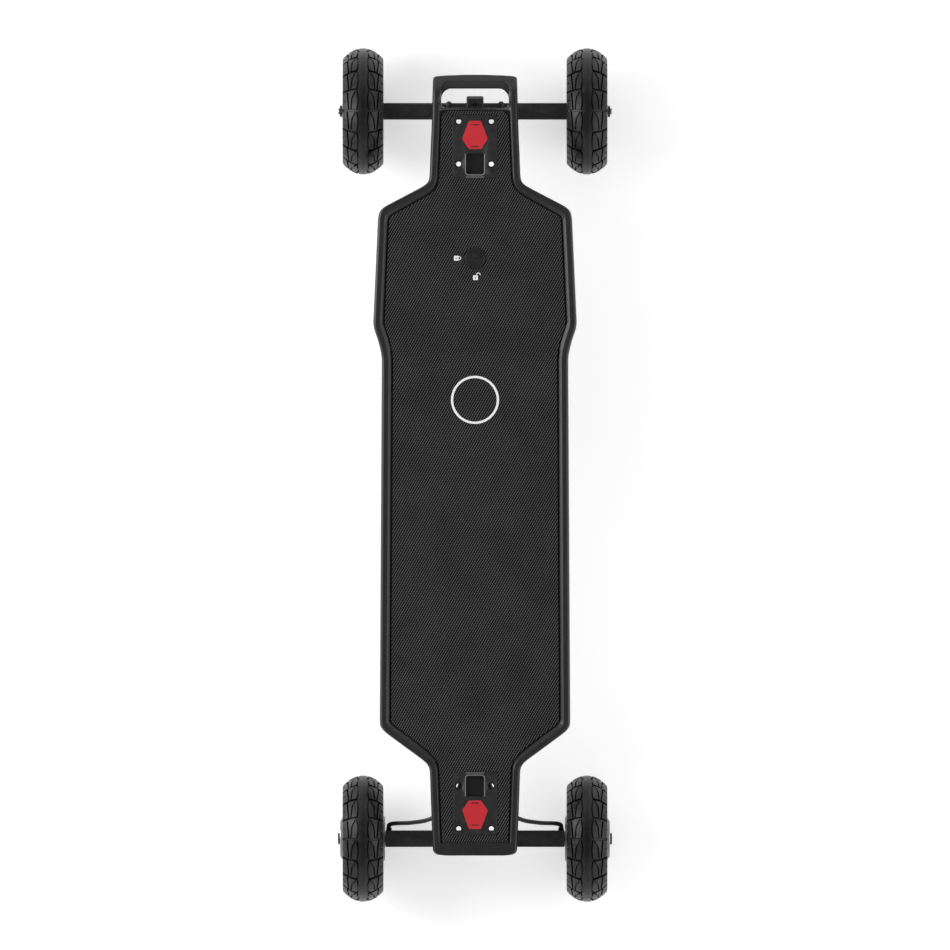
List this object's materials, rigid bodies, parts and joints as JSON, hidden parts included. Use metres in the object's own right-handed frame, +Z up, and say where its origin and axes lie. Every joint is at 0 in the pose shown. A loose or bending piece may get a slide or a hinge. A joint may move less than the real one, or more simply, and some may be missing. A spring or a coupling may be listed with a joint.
{
  "type": "electric skateboard",
  "caption": "Long electric skateboard with a waisted deck, grip mat, hand-hold nose, double-kingpin trucks, large tyres, hub motors in the rear wheels and a drop-down battery.",
  "frame": {"origin": "on the ground under the middle of the board's overall length and width", "axes": "+X to the board's right, +Y towards its nose and hand-hold, +Z up"},
  "size_m": [0.347, 1.081, 0.162],
  "materials": {
    "tyre_rubber": "matt moulded rubber",
    "bushing_rubber": "translucent grey polyurethane",
    "grip_rubber": "fine ribbed grip",
    "deck_composite": "satin moulded composite",
    "black_cast_metal": "satin black powder coat",
    "black_steel": "black oxide",
    "bright_steel": "ground",
    "motor_aluminium": "grey anodised",
    "plate_aluminium": "dark anodised",
    "stator_steel": "copper windings on steel",
    "rim_plastic": "glass-filled nylon",
    "battery_plastic": "fine texture",
    "cell_wrap": "heat-shrink wrap",
    "circuit_board": "solder mask",
    "cable_rubber": "satin sheath",
    "black_plastic": "satin"
  },
  "bodies": {
    "deck": {"deck_shell": "deck_composite", "grip_mat": "grip_rubber", "front_top_plate": "plate_aluminium", "rear_top_plate": "plate_aluminium", "lock_bezel": "black_plastic", "battery_tray": "deck_composite", "controller_cover": "deck_composite", "controller_board": "circuit_board", "left_cable_connector": "cable_rubber", "right_cable_connector": "cable_rubber", "left_motor_cable": "cable_rubber", "right_motor_cable": "cable_rubber", "front_baseplate": "black_cast_metal", "front_inner_kingpin": "black_steel", "front_inner_lower_bushing": "bushing_rubber", "front_inner_upper_bushing": "bushing_rubber", "rear_baseplate": "black_cast_metal", "rear_inner_kingpin": "black_steel", "rear_inner_lower_bushing": "bushing_rubber", "rear_inner_upper_bushing": "bushing_rubber"},
    "front_arm_link": {"front_arm": "black_cast_metal", "front_pivot_cup": "bushing_rubber", "front_outer_kingpin": "black_steel", "front_outer_lower_bushing": "bushing_rubber", "front_outer_upper_bushing": "bushing_rubber"},
    "front_axle_carrier": {"front_hanger": "black_cast_metal", "front_axle": "bright_steel", "front_left_axle_nut": "black_steel", "front_right_axle_nut": "black_steel"},
    "front_left_wheel": {"front_left_tyre": "tyre_rubber", "front_left_rim": "rim_plastic", "front_left_bearing": "bright_steel"},
    "front_right_wheel": {"front_right_tyre": "tyre_rubber", "front_right_rim": "rim_plastic", "front_right_bearing": "bright_steel"},
    "rear_arm_link": {"rear_arm": "black_cast_metal", "rear_pivot_cup": "bushing_rubber", "rear_outer_kingpin": "black_steel", "rear_outer_lower_bushing": "bushing_rubber", "rear_outer_upper_bushing": "bushing_rubber"},
    "rear_axle_carrier": {"rear_hanger": "black_cast_metal", "rear_axle": "bright_steel", "rear_left_axle_nut": "black_steel", "rear_right_axle_nut": "black_steel", "rear_left_stator": "stator_steel", "rear_right_stator": "stator_steel"},
    "rear_left_wheel": {"rear_left_tyre": "tyre_rubber", "rear_left_motor_shell": "motor_aluminium", "rear_left_motor_cover": "motor_aluminium"},
    "rear_right_wheel": {"rear_right_tyre": "tyre_rubber", "rear_right_motor_shell": "motor_aluminium", "rear_right_motor_cover": "motor_aluminium"},
    "battery": {"battery_case": "battery_plastic", "battery_lid": "battery_plastic", "battery_cells": "cell_wrap"},
    "battery_lock": {"lock_knob": "black_steel", "lock_key": "bright_steel"},
    "power_switch": {"power_button": "black_plastic"}
  },
  "joints": [
    {"name": "front_arm_steer", "type": "hinge", "parent": "deck", "child": "front_arm_link", "pos_m": [0, 0.40282, 0.11973], "axis": [0, 0.866, 0.5], "range_deg": [-12, 12], "stiffness_Nm_per_rad": 120, "deforming": ["front_inner_lower_bushing", "front_inner_upper_bushing"]},
    {"name": "front_hanger_steer", "type": "hinge", "parent": "front_arm_link", "child": "front_axle_carrier", "pos_m": [0, 0.43682, 0.10073], "axis": [0, 0.866, 0.5], "range_deg": [-12, 12], "stiffness_Nm_per_rad": 120, "deforming": ["front_outer_lower_bushing", "front_outer_upper_bushing"]},
    {"name": "front_left_wheel_spin", "type": "hinge", "parent": "front_axle_carrier", "child": "front_left_wheel", "pos_m": [-0.142, 0.4605, 0.08], "axis": [1, 0, 0], "continuous": true},
    {"name": "front_right_wheel_spin", "type": "hinge", "parent": "front_axle_carrier", "child": "front_right_wheel", "pos_m": [0.142, 0.4605, 0.08], "axis": [1, 0, 0], "continuous": true},
    {"name": "rear_arm_steer", "type": "hinge", "parent": "deck", "child": "rear_arm_link", "pos_m": [0, -0.40282, 0.11973], "axis": [0, -0.866, 0.5], "range_deg": [-12, 12], "stiffness_Nm_per_rad": 120, "deforming": ["rear_inner_lower_bushing", "rear_inner_upper_bushing", "left_motor_cable", "right_motor_cable"]},
    {"name": "rear_hanger_steer", "type": "hinge", "parent": "rear_arm_link", "child": "rear_axle_carrier", "pos_m": [0, -0.43682, 0.10073], "axis": [0, -0.866, 0.5], "range_deg": [-12, 12], "stiffness_Nm_per_rad": 120, "deforming": ["rear_outer_lower_bushing", "rear_outer_upper_bushing"]},
    {"name": "rear_left_wheel_spin", "type": "hinge", "parent": "rear_axle_carrier", "child": "rear_left_wheel", "pos_m": [-0.142, -0.4605, 0.08], "axis": [1, 0, 0], "continuous": true},
    {"name": "rear_right_wheel_spin", "type": "hinge", "parent": "rear_axle_carrier", "child": "rear_right_wheel", "pos_m": [0.142, -0.4605, 0.08], "axis": [1, 0, 0], "continuous": true},
    {"name": "battery_swing", "type": "hinge", "parent": "deck", "child": "battery", "pos_m": [0, 0.016, 0.124], "axis": [1, 0, 0], "range_deg": [-15, 0]},
    {"name": "battery_lock_turn", "type": "hinge", "parent": "deck", "child": "battery_lock", "pos_m": [0, 0.274, 0.152], "axis": [0, 0, 1], "range_deg": [-90, 0]},
    {"name": "power_button_press", "type": "slide", "parent": "deck", "child": "power_switch", "axis": [0, 0, 1], "range_m": [0, 0.0015], "stiffness_N_per_m": 400}
  ]
}
